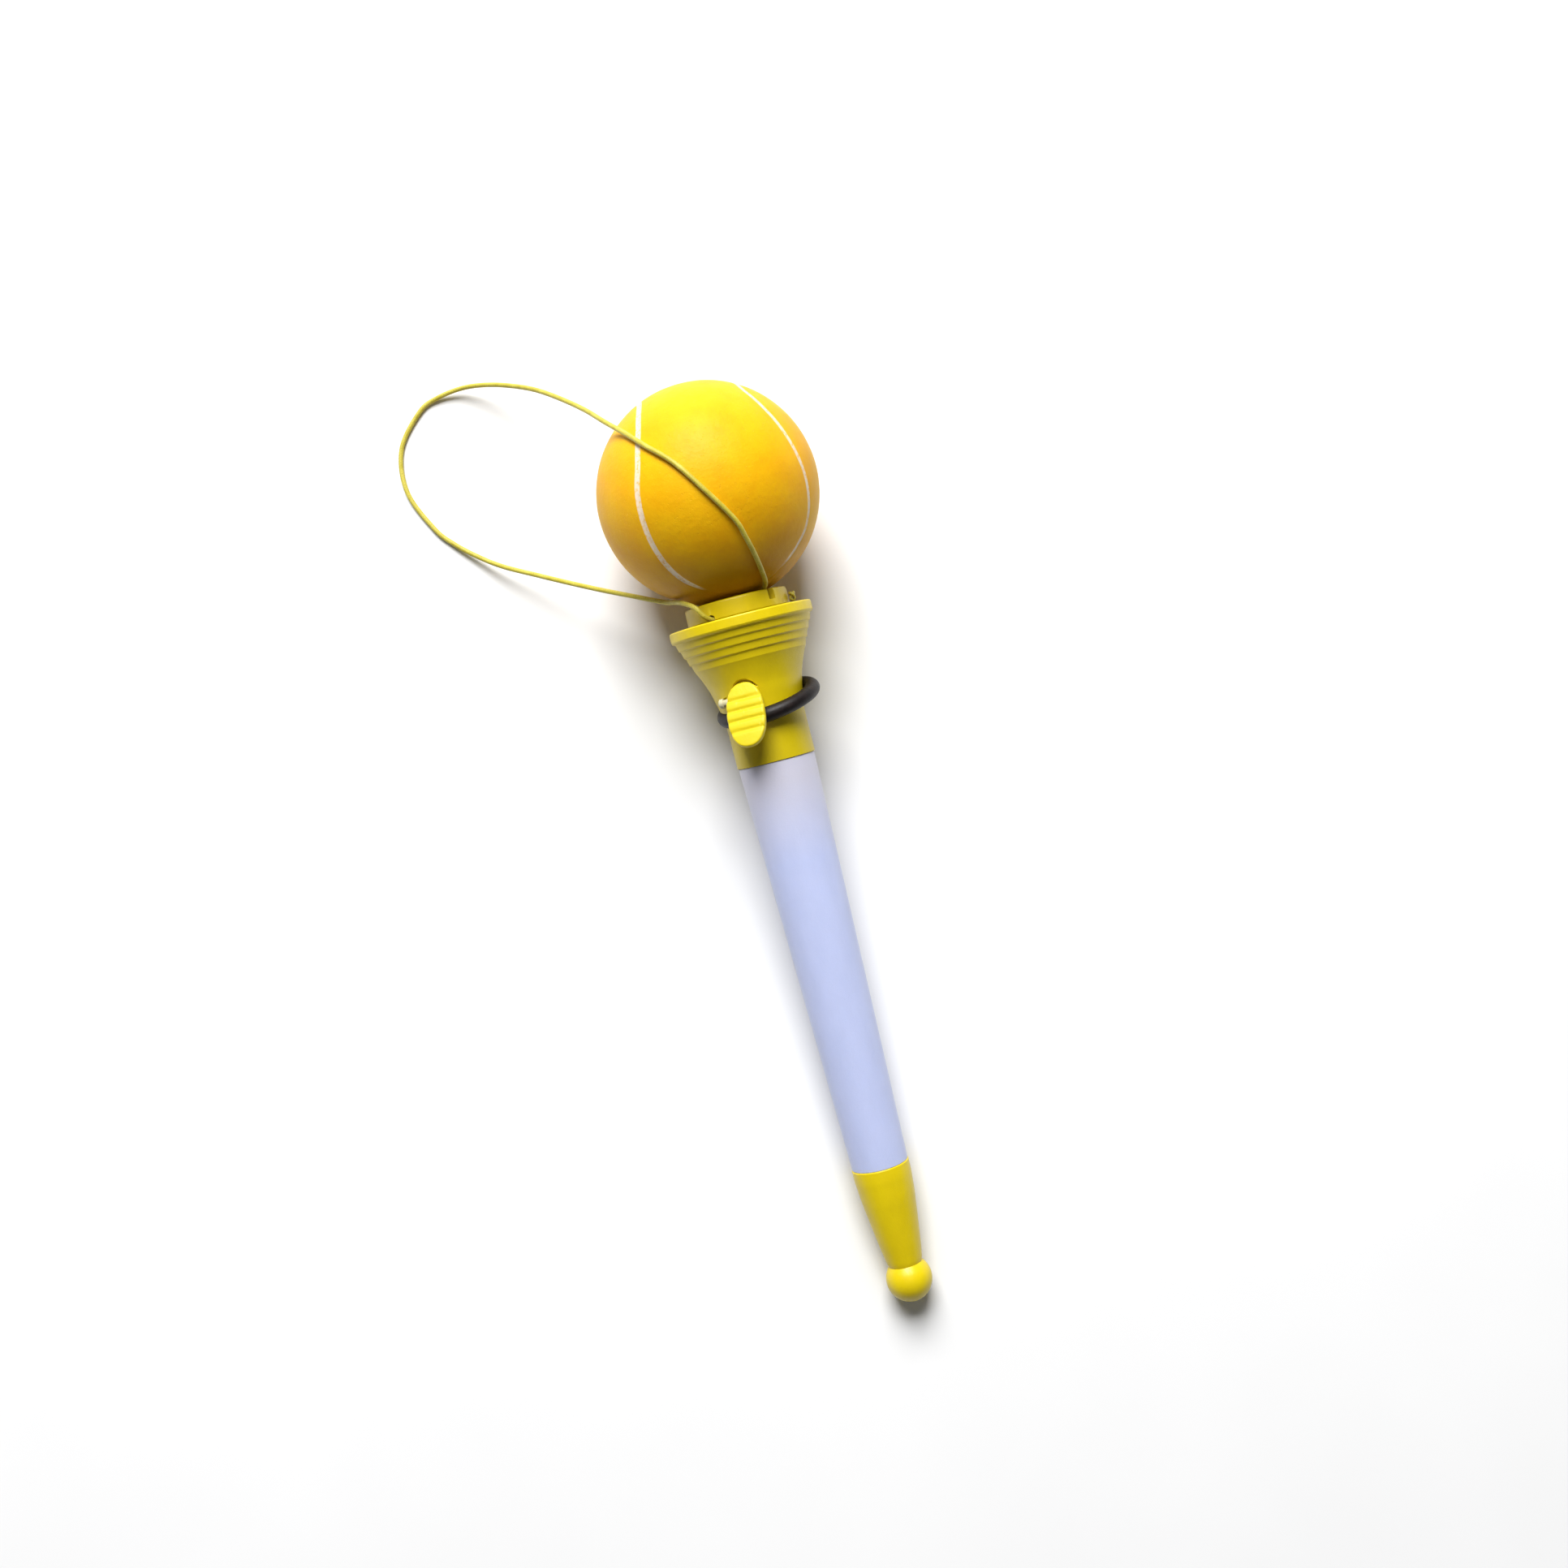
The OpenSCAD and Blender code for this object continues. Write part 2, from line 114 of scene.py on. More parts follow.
AXIS = Vector(joint("plunger_cock")["axis"]).normalized()
RIGHT = Vector((1, 0, 0))
UPPER = RIGHT.cross(AXIS)
ball_low, ball_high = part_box("ball")
BALL_CENTRE = (ball_low + ball_high) / 2
PEN_ORIGIN = BALL_CENTRE - AXIS * BALL_Z * MM
PEN_TURN = Matrix((RIGHT, -UPPER, AXIS)).transposed().to_4x4()
PEN = Matrix.Translation(PEN_ORIGIN) @ PEN_TURN @ Matrix.Scale(MM, 4)


def turned(degrees, axis="Z"):
    return Matrix.Rotation(math.radians(degrees), 4, axis)


# ---------------------------------------------------------------- camera

def make_camera():
    """Nearly straight above the pen, a little towards its cap, and turned a little to the left."""
    place = (0.00026, -0.00632, 0.345)
    tilt, roll = math.radians(3.15), math.radians(14.389)
    forward = Vector((0, math.sin(tilt), -math.cos(tilt)))
    ahead = Vector((0, -forward.z, forward.y))
    up = ahead * math.cos(roll) + RIGHT * math.sin(roll)
    data = bpy.data.cameras.new("camera")
    data.lens = 42.09
    data.sensor_width = 36
    data.clip_start = 0.01
    data.clip_end = 10
    data.dof.use_dof = False
    camera = bpy.data.objects.new("camera", data)
    camera.matrix_world = (
        Matrix.Translation(place)
        @ Matrix((forward.cross(up), up, -forward)).transposed().to_4x4())
    bpy.context.scene.collection.objects.link(camera)
    bpy.context.scene.camera = camera


# ---------------------------------------------------------------- mesh helpers

def piece(name, verts, faces, material):
    """A smooth mesh object, with its vertices where they are given."""
    mesh = bpy.data.meshes.new(name)
    mesh.from_pydata([tuple(v) for v in verts], [], faces)
    obj = bpy.data.objects.new(name, mesh)
    bpy.context.scene.collection.objects.link(obj)
    tidy(mesh)
    if material:
        mesh.materials.append(material)
    return obj


def tidy(mesh):
    """Welds doubles, drops degenerate faces and turns every face outwards."""
    bm = bmesh.new()
    bm.from_mesh(mesh)
    bmesh.ops.remove_doubles(bm, verts=bm.verts, dist=1e-7)
    bmesh.ops.dissolve_degenerate(bm, dist=1e-7, edges=bm.edges)
    bmesh.ops.recalc_face_normals(bm, faces=bm.faces)
    for face in bm.faces:
        face.smooth = True
    bm.to_mesh(mesh)
    bm.free()
    mesh.update()


def lay(obj, before=None):
    """Moves a mesh that was drawn upright in millimetres to where the pen lies."""
    obj.data.transform(PEN @ (before or Matrix.Identity(4)))


def keep_flats(obj, angle=32):
    """Flat faces stay flat in the shading, and edges sharper than the angle stay sharp."""
    obj.data.set_sharp_from_angle(angle=math.radians(angle))
    modifier = obj.modifiers.new("normals", "WEIGHTED_NORMAL")
    modifier.keep_sharp = True
    modifier.weight = 50


def soften(outline, fillet, steps=5, closed=True):
    """The outline with rounded corners. A point's third number is its own fillet."""
    made = []
    count = len(outline)
    for i, point in enumerate(outline):
        radius = point[2] if len(point) > 2 else fillet
        corner = np.array(point[:2], float)
        if radius == 0 or (not closed and i in (0, count - 1)):
            made.append(corner)
            continue
        back = np.array(outline[i - 1][:2], float) - corner
        ahead = np.array(outline[(i + 1) % count][:2], float) - corner
        back_len, ahead_len = np.linalg.norm(back), np.linalg.norm(ahead)
        half = math.acos(np.clip(back @ ahead / back_len / ahead_len, -1, 1)) / 2
        reach = min(radius / math.tan(half), 0.47 * back_len, 0.47 * ahead_len)
        start = corner + back / back_len * reach
        end = corner + ahead / ahead_len * reach
        for k in range(steps + 1):
            w = k / steps
            made.append((1 - w) ** 2 * start + 2 * w * (1 - w) * corner + w * w * end)
    return made


def through(points, steps):
    """A smooth curve through the points, with some steps to each stretch."""
    pts = [np.array(p, float) for p in points]
    last = len(pts) - 1
    made = []
    for i in range(last):
        a, b, c, d = pts[max(i - 1, 0)], pts[i], pts[i + 1], pts[min(i + 2, last)]
        for k in range(steps):
            f = k / steps
            made.append(0.5 * (2 * b + (c - a) * f + (2 * a - 5 * b + 4 * c - d) * f * f
                               + (3 * b - a - 3 * c + d) * f ** 3))
    made.append(pts[-1])
    return made


def lathe(name, outline, material, body=None, segments=SEGMENTS, place=None, laid=True):
    """A closed outline of (distance from the axis, height) turned round the axis."""
    verts, rings = [], []
    for r, z in outline:
        if r < 1e-6:
            rings.append([len(verts)] * segments)
            verts.append((0, 0, z))
        else:
            rings.append([len(verts) + k for k in range(segments)])
            verts += [(r * math.cos(2 * math.pi * k / segments),
                       r * math.sin(2 * math.pi * k / segments), z) for k in range(segments)]
    faces = []
    for j, low in enumerate(rings):
        high = rings[(j + 1) % len(rings)]
        if low[0] == low[1] and high[0] == high[1]:
            continue
        for k in range(segments):
            m = (k + 1) % segments
            corners = [low[k], low[m], high[m], high[k]]
            faces.append(list(dict.fromkeys(corners)))
    obj = piece(name, verts, faces, material)
    if laid:
        lay(obj, place)
    if body:
        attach(obj, body)
    return obj


def quads(rows, sides, closed=False):
    """Faces between rows of vertices that each run once round."""
    faces = []
    for i in range(rows if closed else rows - 1):
        low, high = i * sides, (i + 1) % rows * sides
        for k in range(sides):
            m = (k + 1) % sides
            faces.append([low + k, low + m, high + m, high + k])
    return faces


def tube(name, path, radius, sides, material):
    """A tube along a path. radius may be a function of the arc length and the angle round it."""
    path = np.array(path, float)
    count = len(path)
    tangents = np.gradient(path, axis=0)
    tangents /= np.linalg.norm(tangents, axis=1)[:, None]
    lengths = np.concatenate([[0], np.cumsum(np.linalg.norm(np.diff(path, axis=0), axis=1))])
    side = np.cross(tangents[0], (0.3, 0.2, 1.0))
    sides_of = []
    for t in tangents:
        side = side - t * (side @ t)
        side /= np.linalg.norm(side)
        sides_of.append(side.copy())
    angles = 2 * math.pi * np.arange(sides) / sides
    verts = []
    for i in range(count):
        p, q = sides_of[i], np.cross(tangents[i], sides_of[i])
        r = radius(lengths[i], angles) if callable(radius) else np.full(sides, radius)
        verts += list(path[i] + (np.cos(angles) * r)[:, None] * p + (np.sin(angles) * r)[:, None] * q)
    ends = [list(range(sides))[::-1], [(count - 1) * sides + k for k in range(sides)]]
    return piece(name, verts, quads(count, sides) + ends, material), lengths


def slab(low, high):
    """A cutter: two matching outlines with a wall between them."""
    count = len(low)
    ends = [list(range(count))[::-1], [count + k for k in range(count)]]
    mesh = bpy.data.meshes.new("cutter")
    mesh.from_pydata(low + high, [], ends + quads(2, count))
    return mesh


def block(size, centre):
    """A cutter: a box drawn upright."""
    mesh = bpy.data.meshes.new("cutter")
    bm = bmesh.new()
    bmesh.ops.create_cube(bm, size=1, matrix=Matrix.Translation(centre) @ Matrix.Diagonal((*size, 1)))
    bm.to_mesh(mesh)
    bm.free()
    return mesh


def rod(radius, start, end, segments=48):
    """A cutter: a rod from one point to another."""
    mesh = bpy.data.meshes.new("cutter")
    start, end = Vector(start), Vector(end)
    turn = (end - start).to_track_quat("Z", "Y").to_matrix().to_4x4()
    bm = bmesh.new()
    bmesh.ops.create_cone(
        bm, cap_ends=True, segments=segments, radius1=radius, radius2=radius,
        depth=(end - start).length, matrix=Matrix.Translation((start + end) / 2) @ turn)
    bm.to_mesh(mesh)
    bm.free()
    return mesh


def carve(obj, cutters, operation="DIFFERENCE"):
    """Takes each cutter mesh away from a piece, or adds it, before it is laid."""
    for mesh, place in cutters:
        cutter = bpy.data.objects.new("cutter", mesh)
        mesh.transform(place)
        bpy.context.scene.collection.objects.link(cutter)
        modifier = obj.modifiers.new("carve", "BOOLEAN")
        modifier.operation = operation
        modifier.solver = "EXACT"
        modifier.object = cutter
        view = bpy.context.evaluated_depsgraph_get()
        obj.data = bpy.data.meshes.new_from_object(obj.evaluated_get(view))
        obj.modifiers.clear()
        bpy.data.objects.remove(cutter)
    tidy(obj.data)


def near_tree(points):
    """Looks up which of the points is nearest to a place."""
    tree = KDTree(len(points))
    for i, p in enumerate(points):
        tree.insert(p, i)
    tree.balance()
    return tree


def mark(mesh, name, values):
    """Writes a value at each vertex, for the piece's material."""
    mesh.attributes.new(name, "FLOAT", "POINT").data.foreach_set("value", values)


# ---------------------------------------------------------------- material helpers

class Finish:
    """A material whose nodes are added by name, with one principled shader."""

    def __init__(self, name):
        self.material = bpy.data.materials.new(name)
        self.material.use_nodes = True
        self.tree = self.material.node_tree
        self.tree.nodes.clear()
        self.shader = self.tree.nodes.new("ShaderNodeBsdfPrincipled")
        output = self.tree.nodes.new("ShaderNodeOutputMaterial")
        self.link(self.shader.outputs["BSDF"], output.inputs["Surface"])
        self.bump_from = None

    def link(self, source, target):
        self.tree.links.new(source, target)

    def node(self, kind, inputs=None, **settings):
        made = self.tree.nodes.new("ShaderNode" + kind)
        for key, value in settings.items():
            setattr(made, key, value)
        for key, value in (inputs or {}).items():
            socket = made.inputs[key]
            if isinstance(value, bpy.types.NodeSocket):
                self.link(value, socket)
            else:
                socket.default_value = value
        return made

    def place(self, stretch=(1, 1, 1), turn=(0, 0, 0)):
        """Millimetres in the pen's upright frame, then stretched."""
        at = self.node("TexCoord").outputs["Object"]
        upright = self.node("Mapping", {
            "Vector": at, "Location": PEN_ORIGIN, "Rotation": PEN.to_euler(),
            "Scale": (MM, MM, MM)}, vector_type="TEXTURE").outputs[0]
        return self.node("Mapping", {
            "Vector": upright, "Scale": stretch, "Rotation": turn}).outputs[0]

    def noise(self, scale, detail=3.0, rough=0.55, stretch=(1, 1, 1), turn=(0, 0, 0)):
        return self.node("TexNoise", {
            "Vector": self.place(stretch, turn), "Scale": scale, "Detail": detail,
            "Roughness": rough}).outputs["Fac"]

    def ramp(self, value, *stops):
        """Maps a value through (position, colour or number) stops."""
        made = self.node("ValToRGB", {"Fac": value})
        made.color_ramp.elements.remove(made.color_ramp.elements[1])
        for i, (position, colour) in enumerate(stops):
            element = made.color_ramp.elements[0] if i == 0 else made.color_ramp.elements.new(position)
            element.position = position
            rgb = colour if isinstance(colour, tuple) else (colour,) * 3
            element.color = (*rgb, 1)
        return made.outputs["Color"]

    def mix(self, factor, a, b):
        made = self.node("Mix", data_type="RGBA")
        for key, value in ((0, factor), (6, a), (7, b)):
            socket = made.inputs[key]
            if isinstance(value, bpy.types.NodeSocket):
                self.link(value, socket)
            else:
                socket.default_value = (*value, 1) if isinstance(value, tuple) else value
        return made.outputs[2]

    def maths(self, operation, a, b=0.0, clamp=False):
        made = self.node("Math", {0: a, 1: b}, operation=operation)
        made.use_clamp = clamp
        return made.outputs[0]

    def bump(self, height, depth, strength=1.0):
        """Adds a layer of relief of that depth, in metres."""
        made = self.node("Bump", {"Height": height, "Distance": depth, "Strength": strength})
        if self.bump_from is not None:
            self.link(self.bump_from, made.inputs["Normal"])
        self.bump_from = made.outputs["Normal"]
        self.link(self.bump_from, self.shader.inputs["Normal"])

    def set(self, **values):
        """Sets the shader's sockets; an underscore stands for a space."""
        names = {name.lower().replace(" ", "_"): name for name in self.shader.inputs.keys()}
        for key, value in values.items():
            socket = self.shader.inputs[names[key]]
            if isinstance(value, bpy.types.NodeSocket):
                self.link(value, socket)
            else:
                socket.default_value = value


def scratches(finish, turn, scale, width):
    """Thin straight marks, as a mask."""
    lines = finish.noise(scale, 2.0, 0.5, stretch=(1, 1, 0.035), turn=turn)
    return finish.ramp(lines, (0.5 - width, 0.0), (0.5, 1.0), (0.5 + width, 0.0))


def worn_edges(finish, low=0.53, high=0.62):
    """The raised edges that handling polishes, as a mask."""
    point = finish.node("NewGeometry").outputs["Pointiness"]
    return finish.ramp(point, (low, 0.0), (high, 1.0))


def paint_shade_between(finish, base, start, end, colour):
    """Paints shade: fades a colour into another one between two heights on the pen."""
    height = finish.node("SeparateXYZ", {"Vector": finish.place()}).outputs["Z"]
    share = finish.node("MapRange", {"Value": height, "From Min": start, "From Max": end}, clamp=True)
    return finish.mix(share.outputs["Result"], base, colour)


def moulded(name, colour, shade, pale, rough=0.36, scatter=0.0, wear=0.5, shade_band=None):
    """Moulded plastic: faint flow marks, a fine skin, hairline scratches and polished edges."""
    f = Finish(name)
    clouds = f.noise(0.22, 4.0, 0.6, stretch=(1, 1, 0.45))
    base = f.ramp(clouds, (0.3, shade), (0.62, colour))
    specks = f.ramp(f.noise(3.2, 2.0), (0.69, 0.0), (0.76, 0.35))
    base = f.mix(specks, base, shade)
    edge = f.maths("MULTIPLY", worn_edges(f), wear)
    base = f.mix(edge, base, pale)
    # Painted shade: where given, the colour fades to a shaded one between two heights
    if shade_band:
        base = paint_shade_between(f, base, *shade_band)
    marks = f.maths("MAXIMUM", scratches(f, (0.5, 0.1, 0.3), 2.2, 0.012),
                    scratches(f, (-0.25, 0.4, 0.9), 1.7, 0.010))
    marks = f.maths("MULTIPLY", marks, f.ramp(f.noise(0.35, 2.0), (0.45, 0.0), (0.65, 1.0)))
    flow = f.noise(0.55, 3.0, 0.5, stretch=(1, 1, 0.12))
    roughness = f.maths("ADD", f.maths("MULTIPLY", flow, 0.16), rough - 0.08)
    roughness = f.maths("ADD", roughness, f.maths("MULTIPLY", marks, 0.14))
    f.set(base_color=base, roughness=roughness, ior=1.49, specular_ior_level=0.4)
    if scatter:
        f.set(subsurface_weight=scatter, subsurface_scale=0.0012, subsurface_radius=(1.0, 0.8, 0.7))
    f.bump(f.noise(1.6, 3.0, 0.6), 0.00003)
    f.bump(f.noise(9.0, 2.0, 0.5), 0.000006)
    f.bump(marks, -0.000008)
    return f.material


def foam_skin(name):
    """Skinned foam: pores, soft dimples, a warm amber mottle, painted seams and painted shade towards the
    collar.
    """
    f = Finish(name)
    mottle = f.noise(0.13, 4.0, 0.6)
    base = f.ramp(mottle, (0.32, (0.82, 0.40, 0.001)), (0.5, (0.85, 0.45, 0.002)),
                  (0.7, (0.87, 0.49, 0.003)))
    fine = f.ramp(f.noise(4.5, 3.0, 0.6), (0.35, 0.0), (0.75, 0.22))
    base = f.mix(fine, base, (0.66, 0.27, 0.001))
    # Painted shade: the foam darkens towards the collar, where the ball's underside is in shade
    height = f.node("SeparateXYZ", {"Vector": f.place()}).outputs["Z"]
    height = f.maths("ADD", height, f.maths("MULTIPLY", mottle, 3.0))
    shade_by_collar = f.node("MapRange", {"Value": height, "From Min": BALL_Z - 8, "From Max": BALL_Z - 15,
                                 "To Max": 0.55}, clamp=True).outputs["Result"]
    base = f.mix(shade_by_collar, base, (0.36, 0.17, 0.002))
    painted = f.node("Attribute", attribute_name="seam").outputs["Fac"]
    rubbed = f.ramp(f.noise(1.4, 4.0, 0.65), (0.34, 0.25), (0.5, 1.0))
    paint = f.maths("MULTIPLY", f.ramp(painted, (0.35, 0.0), (0.6, 1.0)), rubbed)
    base = f.mix(paint, base, (0.84, 0.70, 0.52))
    pores = f.node("TexVoronoi", {"Vector": f.place(), "Scale": 2.6, "Randomness": 1.0})
    pits = f.ramp(pores.outputs["Distance"], (0.0, 0.0), (0.28, 1.0))
    some = f.ramp(f.noise(0.9, 2.0), (0.52, 1.0), (0.62, 0.0))
    pits = f.maths("MAXIMUM", pits, some)
    roughness = f.maths("ADD", f.maths("MULTIPLY", f.noise(0.6, 3.0), 0.16), 0.40)
    f.set(base_color=base, roughness=roughness, specular_ior_level=0.15, subsurface_weight=0.05,
          subsurface_scale=0.001, subsurface_radius=(1.0, 0.5, 0.1))
    f.bump(pits, 0.00005)
    f.bump(f.noise(1.1, 4.0, 0.6), 0.00007)
    f.bump(f.noise(12.0, 2.0), 0.00001)
    return f.material


def braid(name):
    """Braided elastic: yellow-green thread, with painted shade in the hollows between strands."""
    f = Finish(name)
    raised = f.node("Attribute", attribute_name="strand").outputs["Fac"]
    tone = f.noise(0.5, 3.0)
    thread = f.ramp(tone, (0.35, (0.50, 0.42, 0.025)), (0.65, (0.62, 0.54, 0.07)))
    # Painted shade: the hollows between the strands are darkened
    base = f.mix(f.ramp(raised, (0.1, 0.85), (0.8, 0.0)), thread, (0.22, 0.16, 0.01))
    fibres = f.noise(14.0, 2.0, 0.5)
    f.set(base_color=base, roughness=f.maths("ADD", f.maths("MULTIPLY", tone, 0.2), 0.42),
          sheen_weight=0.1, sheen_roughness=0.4)
    f.bump(fibres, 0.00002)
    return f.material


def rubber(name):
    """Black rubber with a brownish bloom and a matt moulded skin."""
    f = Finish(name)
    bloom = f.ramp(f.noise(0.5, 4.0, 0.65), (0.4, (0.004, 0.002, 0.002)), (0.7, (0.012, 0.006, 0.005)))
    dust = f.ramp(f.noise(5.0, 3.0), (0.66, 0.0), (0.8, 0.3))
    f.set(base_color=f.mix(dust, bloom, (0.05, 0.035, 0.03)), specular_ior_level=0.3,
          roughness=f.maths("ADD", f.maths("MULTIPLY", f.noise(1.2, 3.0), 0.25), 0.36))
    f.bump(f.noise(2.5, 4.0, 0.6), 0.00003)
    f.bump(f.noise(11.0, 2.0), 0.00001)
    return f.material


def metal(name, colour, dark, rough, drawn=(1, 1, 0.08)):
    """Bare metal with drawing or turning marks and a little tarnish."""
    f = Finish(name)
    tarnish = f.noise(0.8, 4.0, 0.6)
    lines = f.noise(6.0, 2.0, 0.5, stretch=drawn)
    f.set(base_color=f.ramp(tarnish, (0.35, dark), (0.65, colour)), metallic=1.0,
          roughness=f.maths("ADD", f.maths("MULTIPLY", lines, 0.18), rough))
    f.bump(lines, 0.000006)
    return f.material


def ink_paste(name):
    f = Finish(name)
    tone = f.ramp(f.noise(0.6, 3.0), (0.35, (0.006, 0.012, 0.16)), (0.65, (0.014, 0.03, 0.27)))
    f.set(base_color=tone, roughness=f.maths("ADD", f.maths("MULTIPLY", f.noise(1.5), 0.15), 0.1))
    f.bump(f.noise(1.0), 0.00002)
    return f.material


def paper(name):
    """The pale floor."""
    f = Finish(name)
    f.set(base_color=f.ramp(f.noise(0.02), (0.3, (0.83, 0.83, 0.83)), (0.7, (0.85, 0.85, 0.85))),
          roughness=0.7)
    # The lights fall off far from the pen, so the floor glows there and stays pale to its edge
    away = f.node("VectorMath", {0: f.node("TexCoord").outputs["Object"]}, operation="LENGTH")
    glow = f.node("MapRange", {"Value": away.outputs["Value"], "From Min": 0.4, "From Max": 2.0,
                               "To Max": 0.85}, clamp=True)
    f.set(emission_color=(0.97, 0.98, 1.0, 1), emission_strength=glow.outputs["Result"])
    return f.material


YELLOW_TONES = ((0.74, 0.565, 0.002), (0.68, 0.51, 0.002), (0.84, 0.69, 0.05))
YELLOW = moulded("yellow_plastic", *YELLOW_TONES)
# Painted shadow: the launcher darkens from height 110 down to 107.5 and below, the ring's and pad's shadow
# on the sleeve
LAUNCHER = moulded("launcher_plastic", *YELLOW_TONES, shade_band=(110.0, 107.5, (0.56, 0.43, 0.002)))
LEMON = moulded("lemon_plastic", (0.72, 0.57, 0.008), (0.67, 0.52, 0.005), (0.82, 0.70, 0.08),
                rough=0.42)
# Painted shade: the barrel turns greyer from height 84 up to 99, towards the sleeve
WHITE = moulded("white_plastic", (0.53, 0.585, 0.84), (0.50, 0.555, 0.80), (0.62, 0.66, 0.84),
                rough=0.34, scatter=0.25, wear=0.3, shade_band=(84.0, 99.0, (0.58, 0.57, 0.67)))
NATURAL = moulded("natural_plastic", (0.60, 0.56, 0.36), (0.54, 0.50, 0.31), (0.70, 0.67, 0.50),
                  scatter=0.2)
FOAM = foam_skin("foam_skin")
THREAD = braid("braided_elastic")
RUBBER = rubber("black_rubber")
STEEL = metal("spring_steel", (0.66, 0.67, 0.69), (0.45, 0.44, 0.42), 0.2)
BRASS = metal("brass", (0.80, 0.60, 0.27), (0.52, 0.36, 0.14), 0.18, drawn=(0.05, 0.05, 1))
INK = ink_paste("ink")


# ---------------------------------------------------------------- tether

TETHER_ROUTE = [
    (1.1, 44.7, 18.9), (2.5, 44.5, 20.4), (3.9, 44.8, 21.9), (5.1, 45.5, 23.4),
    (5.9, 46.4, 26.1), (5.7, 48.0, 29.7), (5.2, 50.3, 33.2), (4.4, 53.0, 36.1),
    (3.3, 56.1, 38.1), (-0.4, 61.8, 40.2), (-4.3, 67.6, 40.0), (-8.4, 72.3, 37.4),
    (-11.3, 76.2, 33.5), (-14.4, 80.3, 28.8), (-17.6, 84.9, 23.0), (-21.7, 89.6, 17.4),
    (-26.0, 93.8, 12.2), (-30.5, 97.0, 7.8), (-35.4, 99.5, 4.2), (-40.3, 100.8, 1.8),
    (-45.4, 100.5, 0.7), (-49.4, 98.8, 0.5), (-54.5, 92.6, 0.5), (-55.4, 84.4, 0.5),
    (-52.1, 76.3, 0.5), (-49.1, 72.4, 0.7), (-45.0, 68.6, 1.5), (-40.8, 65.4, 2.9),
    (-35.0, 61.9, 5.2), (-29.2, 58.4, 8.0), (-23.5, 55.0, 11.3), (-17.8, 51.7, 15.1),
    (-12.3, 48.5, 19.0), (-10.3, 47.5, 21.8), (-8.9, 46.5, 24.6), (-7.2, 45.0, 26.5),
    (-6.2, 43.4, 26.5), (-5.2, 42.5, 25.9), (-4.4, 42.3, 25.0), (-3.8, 42.6, 23.8)]


def even(path, step):
    """The path with its points an even step apart."""
    path = np.array(path, float)
    lengths = np.concatenate([[0], np.cumsum(np.linalg.norm(np.diff(path, axis=0), axis=1))])
    at = np.linspace(0, lengths[-1], max(int(lengths[-1] / step), 2) + 1)
    return np.stack([np.interp(at, lengths, path[:, k]) for k in range(3)], 1)


BRAID_LOW = 0.86                      # a braid's hollows, as a share of its radius


def braided(pitch):
    """Radius round a braid, as a share: strands cross over and under each other."""
    strands = 4

    def at(length, angles):
        a = strands * angles / 2 + 2 * math.pi * length / pitch
        b = strands * angles / 2 - 2 * math.pi * length / pitch
        over = np.maximum(np.abs(np.cos(a)), np.abs(np.cos(b)))
        return BRAID_LOW + (1 - BRAID_LOW) * over ** 0.7
    return at


def make_tether():
    path = even(np.array(through(TETHER_ROUTE, 24)) * MM, 0.17 * MM)
    radius = CORD_D / 2 * MM
    shape = braided(pitch=1.1)
    tether, lengths = tube("tether_cord", path, lambda s, a: radius * shape(s / MM, a), 20, THREAD)
    tree = near_tree(path)
    found = [tree.find(v.co) for v in tether.data.vertices]
    # How raised each point of the braid is; the braid's material paints shade into the hollows from it
    mark(tether.data, "strand", [
        float(np.clip((distance / radius - BRAID_LOW) / (1 - BRAID_LOW), 0, 1))
        for _, _, distance in found])
    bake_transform(tether)
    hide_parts("tether")


# ---------------------------------------------------------------- stage

def make_stage():
    size = 4.0
    floor = piece("floor", [(-size, -size, 0), (size, -size, 0), (size, size, 0), (-size, size, 0)],
                  [[0, 1, 2, 3]], paper("floor"))
    world = bpy.data.worlds.new("studio")
    bpy.context.scene.world = world
    world.use_nodes = True
    back = world.node_tree.nodes["Background"]
    back.inputs["Color"].default_value = (0.97, 0.98, 1.0, 1)
    # The backdrop looks white but lights the pen only faintly
    seen = world.node_tree.nodes.new("ShaderNodeLightPath").outputs["Is Camera Ray"]
    strength = world.node_tree.nodes.new("ShaderNodeMapRange")
    strength.inputs["To Min"].default_value = 0.10
    strength.inputs["To Max"].default_value = 1.0
    world.node_tree.links.new(seen, strength.inputs["Value"])
    world.node_tree.links.new(strength.outputs["Result"], back.inputs["Strength"])
    soft_box(place=(0.06, 1.07, 1.06), size=0.85, power=43.0)
    soft_box(place=(-0.10, -0.05, 1.3), size=0.8, power=0.4)
    bpy.context.scene.view_settings.view_transform = "Standard"


def soft_box(place, size, power):
    """A square soft light that looks at the pen."""
    data = bpy.data.lights.new("soft_box", "AREA")
    data.shape = "SQUARE"
    data.size = size
    data.energy = power
    lamp = bpy.data.objects.new("soft_box", data)
    lamp.location = place
    lamp.rotation_mode = "QUATERNION"
    lamp.rotation_quaternion = (Vector((0, 0.02, 0.015)) - Vector(place)).to_track_quat("-Z", "Y")
    bpy.context.scene.collection.objects.link(lamp)


# ---------------------------------------------------------------- ball

# Course of the painted seam over the ball: (degrees round to the right from the upper side,
# degrees towards the ball's far end)
SEAM = [
    (-60, 63), (-43, 54), (-34, 37), (-33, 18), (-36, 2), (-38, -18), (-38, -33), (-36, -45),
    (-29, -56), (-14, -67), (20, -73), (48, -62), (57, -50), (61, -41), (64, -32), (63, -21),
    (60, -7), (56, 8), (53, 21), (51, 36), (56, 52), (90, 62), (135, 55), (150, 38), (152, 20),
    (148, 0), (146, -20), (150, -40), (175, -55), (215, -58), (240, -45), (248, -25), (246, 0),
    (244, 20), (246, 40), (262, 56), (285, 64)]


